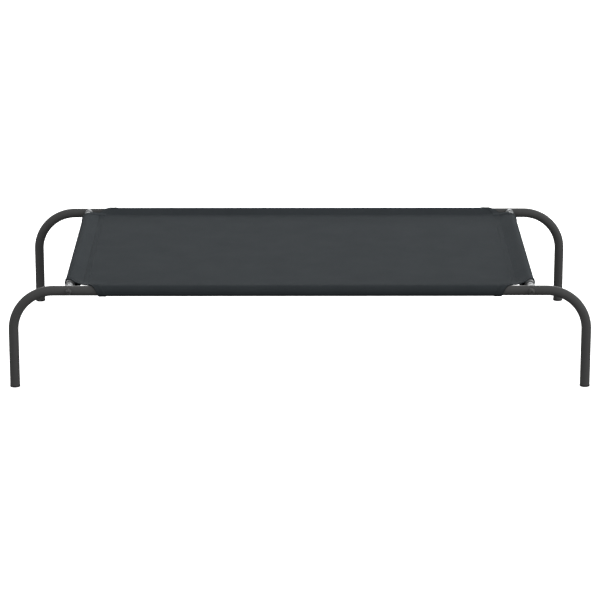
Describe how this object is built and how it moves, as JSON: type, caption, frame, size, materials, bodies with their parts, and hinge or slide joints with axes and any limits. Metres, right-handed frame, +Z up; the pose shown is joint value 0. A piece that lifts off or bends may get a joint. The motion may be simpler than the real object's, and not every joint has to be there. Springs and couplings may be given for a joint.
{
  "type": "raised dog bed",
  "caption": "Raised dog bed: a taut fabric sling sleeved onto a bolted frame of round steel tube, whose long rails bend down into legs.",
  "frame": {"origin": "on the floor, under the middle of the bed", "axes": "+X along the bed's length, to its right seen from the front; +Y from the front rail to the rear rail; +Z up"},
  "size_m": [1.1107, 0.609, 0.2011],
  "materials": {
    "frame_paint": "satin black powder coat",
    "zinc": "bright zinc plate",
    "black_steel": "blackened steel",
    "cap_plastic": "moulded, matt",
    "sling_fabric": "anthracite plain-weave polyester, coated"
  },
  "bodies": {
    "root": {"rail_front_left": "frame_paint", "rail_front_right": "frame_paint", "rail_rear_left": "frame_paint", "rail_rear_right": "frame_paint", "end_bar_left": "frame_paint", "end_bar_right": "frame_paint", "connector_front_left": "zinc", "connector_front_right": "zinc", "connector_rear_left": "zinc", "connector_rear_right": "zinc", "bolt_front_left": "black_steel", "bolt_front_right": "black_steel", "bolt_rear_left": "black_steel", "bolt_rear_right": "black_steel", "saddle_washer_front_left": "black_steel", "saddle_washer_front_right": "black_steel", "saddle_washer_rear_left": "black_steel", "saddle_washer_rear_right": "black_steel", "foot_cap_front_left": "cap_plastic", "foot_cap_front_right": "cap_plastic", "foot_cap_rear_left": "cap_plastic", "foot_cap_rear_right": "cap_plastic", "sling": "sling_fabric"}
  },
  "joints": []
}
